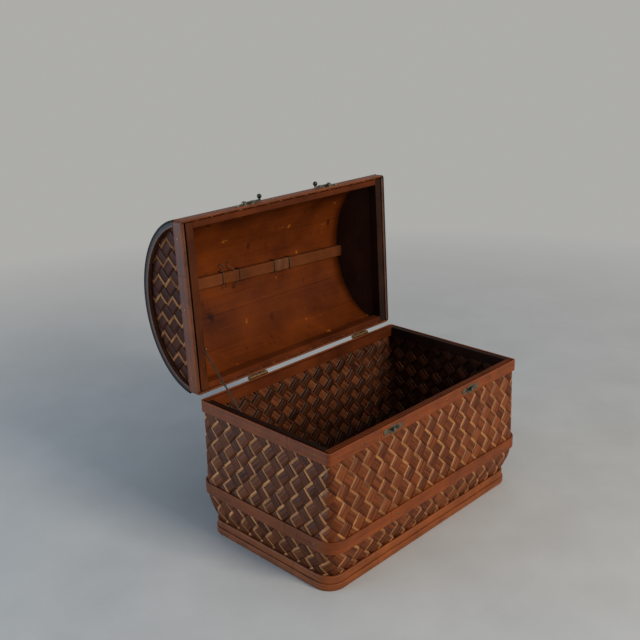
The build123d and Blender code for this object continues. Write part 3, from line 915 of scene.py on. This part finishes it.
# Metal fittings
for name in ("left", "right"):
    softened("hinge_leaf_body_" + name, "trunk", hinge_brass, 0.25)
    softened("hinge_leaf_lid_" + name, "lid", hinge_brass, 0.25)
    softened("hinge_pin_" + name, "trunk", hinge_brass, 0.25)
    softened("catch_plate_" + name, "trunk", latch_bronze, 0.25)
    softened("latch_plate_" + name, "lid", latch_bronze, 0.25)
    softened("latch_hook_" + name, "hook_" + name, latch_bronze, 0.3)
softened("hinge_screws_body", "trunk", hinge_brass, 0.35)
softened("hinge_screws_lid", "lid", hinge_brass, 0.35)
softened("catch_screws", "trunk", latch_bronze, 0.2)
softened("latch_screws", "lid", latch_bronze, 0.2)
softened("cord_anchor_body", "trunk", latch_bronze, 0.2)
softened("cord_anchor_lid", "lid", latch_bronze, 0.2)
softened("band_nails_body", "trunk", nail_metal, 0.45, 3)
softened("band_nails_lid", "lid", nail_metal, 0.45, 3)

# Lining of the dome: long boards, close butted, whose seams only show as stained lines
lining_thickness = 1.2
lining_depth = weave_thickness + 0.8
lining_line = dome_path(lining_depth)
board_count = 6
board_steps = 16
first_board = lid_strip_height + 1.0
board_run = (lining_line.length - 2 * first_board) / board_count
bm = bmesh.new()
strand = bm.verts.layers.float_vector.new("strand")
bmesh.ops.create_grid(
    bm, x_segments=24, y_segments=board_count * board_steps, size=1.0,
    matrix=Matrix.Translation((0, lining_line.length / 2, 0))
    @ Matrix.Diagonal((board_x, lining_line.length / 2 - first_board, 1, 1)),
)
for vertex in bm.verts:
    run = (vertex.co.y - first_board) / board_run
    vertex[strand] = (vertex.co.x * 0.001, run, 0.0)
    point, out = lining_line.at(vertex.co.y)
    vertex.co = Vector((vertex.co.x, point.y, lid_bottom + point.z))
made_piece(
    bm, "lid_lining_boards", "lid", lining_wood, ("lid_lining",),
    thickness=lining_thickness,
)

softened("lid_slat", "lid", slat_wood, 0.8)
softened("handle", "lid", handle_bamboo, 1.2, 3)

# Whippings: fine turns of cane in a three-sided wrap over each foot and round the slat
askew = Matrix.Rotation(slat_skew, 4, "Z")
lining_crown = dome_crown - lining_inset
lining_half = dome_half - lining_inset
slat_half_length = (board_x - slat_width / 2 * math.sin(slat_skew)) / math.cos(slat_skew)
slat_corner = slat_half_length * math.sin(slat_skew) + slat_width / 2 * math.cos(slat_skew)
slat_top = lid_bottom + lining_crown * math.sqrt(1 - (slat_corner / lining_half) ** 2)
slat_bottom = slat_top - slat_thickness
crown_top = lid_bottom + dome_crown
foot_top = crown_top + handle_thickness
whipping_length = tie_outer - tie_inner - tie_wire - 2 * fitting_gap
whipping_off_centre = (tie_outer + tie_inner) / 2


def three_sides(half, z_open, z_closed, toward):
    # Down one side, across and up the other, with round corners of 15-degree steps
    points = [(-toward * half, z_open)]
    for side in (-toward, toward):
        middle_y = side * (half - whipping_corner)
        middle_z = z_closed - toward * whipping_corner
        for step in range(7):
            turned = math.radians(15 * step)
            if side == toward:
                turned = math.pi / 2 - turned
            points.append((
                middle_y + side * whipping_corner * math.cos(turned),
                middle_z + toward * whipping_corner * math.sin(turned),
            ))
    points.append((toward * half, z_open))
    return Path(points)


def whipping(name, centre, half, z_open, z_closed):
    toward = 1 if z_closed > z_open else -1
    base = whipping_thickness * 0.42
    swell = whipping_thickness * 0.7
    line = three_sides(half + base, z_open + toward * fitting_gap, z_closed + toward * base, toward)
    bm = bmesh.new()
    strand = bm.verts.layers.float_vector.new("strand")
    tone = bm.verts.layers.float.new("tone")
    tones = [random.random() for number in range(whipping_turns + 1)]
    bmesh.ops.create_grid(
        bm, x_segments=whipping_turns * 6, y_segments=40, size=1.0,
        matrix=Matrix.Translation((0, line.length / 2, 0))
        @ Matrix.Diagonal((whipping_length / 2, line.length / 2, 1, 1)),
    )
    for vertex in bm.verts:
        turns = (vertex.co.x / whipping_length + 0.5) * whipping_turns
        rise = abs(math.sin(math.pi * turns)) ** 0.7
        # The third part is 1 in the grooves between turns, where the cane finish paints shade
        vertex[strand] = (vertex.co.y * 0.001 + math.floor(turns), turns * 0.001, 1.0 - rise)
        vertex[tone] = tones[min(whipping_turns, int(turns))]
        point, out = line.at(vertex.co.y)
        point = point + out * (rise - 0.5) * swell
        vertex.co = askew @ Vector((centre + vertex.co.x, point.y, point.z))
    made_piece(bm, name + "_turns", "lid", cane_wrap, (name,), thickness=whipping_wall)


left_whipping = handle_centre - whipping_off_centre
right_whipping = handle_centre + whipping_off_centre
whipping("foot_whipping_left", left_whipping, handle_width / 2, crown_top, foot_top)
whipping("foot_whipping_right", right_whipping, handle_width / 2, crown_top, foot_top)
whipping(
    "slat_whipping", right_whipping, slat_width / 2, slat_top - slat_thickness / 4, slat_bottom
)


def smooth_line(points, radius=0.0, closed=False, steps=5):
    # A smooth curve as a mesh: its bare points, or a round wire where a radius is given
    data = bpy.data.curves.new("line", "CURVE")
    data.dimensions = "3D"
    data.resolution_u = steps
    data.bevel_depth = radius
    data.bevel_resolution = 2
    data.use_fill_caps = radius > 0 and not closed
    spline = data.splines.new("NURBS")
    spline.points.add(len(points) - 1)
    for knot, point in zip(spline.points, points):
        knot.co = (point[0], point[1], point[2], 1.0)
    spline.use_cyclic_u = closed
    spline.use_endpoint_u = not closed
    spline.order_u = 3
    holder = bpy.data.objects.new("line", data)
    mesh = bpy.data.meshes.new_from_object(holder)
    bpy.data.objects.remove(holder)
    bpy.data.curves.remove(data)
    return mesh


# Ties: a wire loop at each end of each foot, drawn through the dome and round the slat
tie_half = slat_width / 2 + fitting_gap + tie_wire / 2
tie_low = slat_bottom - fitting_gap - tie_wire / 2
tie_high = foot_top + fitting_gap + tie_wire / 2
bm = bmesh.new()
for centre in (-tie_outer, -tie_inner, tie_inner, tie_outer):
    x = handle_centre + centre
    corners = ((-1, tie_low), (1, tie_low), (1, tie_high), (-1, tie_high))
    loop = []
    for number, (side, z) in enumerate(corners):
        inward = 1 if z == tie_low else -1
        along_side = (x, side * tie_half, z + inward * tie_corner)
        across = (x, side * (tie_half - tie_corner), z)
        loop += [across, along_side] if number % 2 else [along_side, across]
    bm.from_mesh(smooth_line([askew @ Vector(point) for point in loop], tie_wire / 2, closed=True))
# The loose ends of the left pair, twisted off beside the slat and curled: where each starts along
# the slat, on which side, and its steps along and away from the slat
tail_inset = 2.0
tail_clear = 0.8
tail_lift = 0.6
tail_slope = 0.45
for start_x, side, steps in (
    (-tie_outer, -1, ((0, 0), (2.5, 3), (6, 6), (5.5, 10), (1.5, 12), (-1.5, 9.5), (0.5, 7))),
    (-tie_inner - 11, -1, ((0, 0), (-2, 3.5), (-6, 6), (-7.5, 10), (-4, 12.5), (-1.5, 10.5))),
    (-tie_outer + 4, 1, ((0, 0), (2.5, 2.5), (3, 5.5), (0, 7))),
    (-tie_inner, 1, ((0, 0), (-3.5, 2), (-7.5, 5), (-8, 9), (-5, 10.5), (-3, 8.5))),
):
    x = handle_centre + start_x
    tail = [(x, side * (slat_width / 2 - tail_inset), tie_low + tail_lift / 2)]
    for along, out in steps:
        tail.append((
            x + along, side * (slat_width / 2 + tail_clear + out),
            slat_bottom + tail_lift + tail_slope * out,
        ))
    bm.from_mesh(smooth_line([askew @ Vector(point) for point in tail], tie_tail_radius))
made_piece(bm, "handle_tie_wires", "lid", dark_wire, ("handle_ties",))

# Stay cord: strands twisted together, taut between its two posts
cord_top = lid_open @ Vector(cord_high_shut)
cord_bottom = Vector(cord_low)
cord_way = (cord_top - cord_bottom).normalized()
cord_route = [
    cord_bottom + cord_way * cord_end_gap, (cord_bottom + cord_top) / 2,
    cord_top - cord_way * cord_end_gap,
]
route_mesh = smooth_line(cord_route, steps=90)
cord_line = [vertex.co.copy() for vertex in route_mesh.vertices]
cord_start = cord_line[0]
across = cord_way.orthogonal().normalized()
upward = cord_way.cross(across)
strand_offset = cord_radius - strand_radius
bm = bmesh.new()
for number in range(strand_count):
    strand_points = []
    for point in cord_line:
        turns = (point - cord_start).length / strand_turn + number / strand_count
        angle = 2 * math.pi * turns
        strand_points.append(
            point + (across * math.cos(angle) + upward * math.sin(angle)) * strand_offset
        )
    bm.from_mesh(smooth_line(strand_points, strand_radius, steps=2))
strand = bm.verts.layers.float_vector.new("strand")
tone = bm.verts.layers.float.new("tone")
for vertex in bm.verts:
    from_start = vertex.co - cord_start
    around = math.atan2(from_start.dot(upward), from_start.dot(across))
    vertex[strand] = (from_start.dot(cord_way) * 0.001, around * 0.002, 0.0)
    vertex[tone] = 0.5
cord = set_down(bm, "stay_cord_strands", cord_fibre)
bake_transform(cord, "trunk", "lid", start=tuple(metres @ cord_bottom), end=tuple(metres @ cord_top))
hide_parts("stay_cord")
tuple(metres @ cord_route[0])
(cord_route[2] - cord_route[0]).length * 0.001

# Light: a cool sky that shows as pale grey, and three lamps
pale_grey = colour(0.418, 0.415, 0.400)
world = bpy.data.worlds.new("world")
bpy.context.scene.world = world
air = Nodes(world)
sky = air.tree.nodes["Background"]
air.feed(sky, {"Color": colour(0.72, 0.85, 1.0), "Strength": 0.29})
backdrop = air.node("ShaderNodeBackground", {}, {"Color": pale_grey, "Strength": 1.0})
sky_or_backdrop = air.node(
    "ShaderNodeMixShader", {}, {0: air.shown(), 1: Amount(air, sky.outputs[0]), 2: backdrop}
)
air.feed(air.tree.nodes["World Output"], {"Surface": sky_or_backdrop})


def lamp(name, place, size, power, tint, aim=(0.0, 0.0, 0.2)):
    data = bpy.data.lights.new(name, "AREA")
    data.shape = "RECTANGLE"
    data.size, data.size_y = size
    data.energy = power
    data.color = tint
    made = bpy.data.objects.new(name, data)
    bpy.context.scene.collection.objects.link(made)
    made.matrix_world = Matrix.Translation(place) @ (
        (Vector(aim) - Vector(place)).to_track_quat("-Z", "Y").to_matrix().to_4x4()
    )


lamp("key", (0.24, -2.50, 1.38), (0.9, 0.9), 76.0, (1.0, 0.92, 0.80))
lamp("left_fill", (-1.75, 1.15, 0.38), (1.6, 0.7), 33.0, (0.54, 0.75, 1.0))
lamp("top", (0.1, -0.2, 2.2), (1.6, 1.6), 8.0, (1.0, 0.98, 0.95), (0.0, 0.05, 0.2))

# Floor: pale grey paper, running on to the sky's own grey far off so that no horizon shows
floor_half = 25000.0
floor_drop = 0.2
paper = Finish("grey_paper", 0.9, Specular_IOR_Level=0.2)
spot = paper.place()
mottled = paper.spread(paper.noise(spot, 7.0, 6.0, 0.62), 0.3, 0.7)
paper.feed(paper.shader, {
    "Base Color": paper.mix(mottled, colour(0.385, 0.385, 0.38), colour(0.440, 0.440, 0.435)),
})
distance = paper.node("ShaderNodeVectorMath", {"operation": "LENGTH"}, {0: spot}, "Value")
glow = paper.node("ShaderNodeEmission", {}, {"Color": pale_grey, "Strength": 1.0})
near_and_far = paper.node("ShaderNodeMixShader", {}, {
    0: paper.spread(distance, 0.5, 1.7) * paper.shown(),
    1: Amount(paper, paper.shader.outputs[0]), 2: glow,
})
paper.feed(paper.tree.nodes["Material Output"], {"Surface": near_and_far})
bm = bmesh.new()
bmesh.ops.create_grid(
    bm, x_segments=1, y_segments=1, size=floor_half, matrix=Matrix.Translation((0, 0, -floor_drop))
)
floor = set_down(bm, "floor", paper.material)
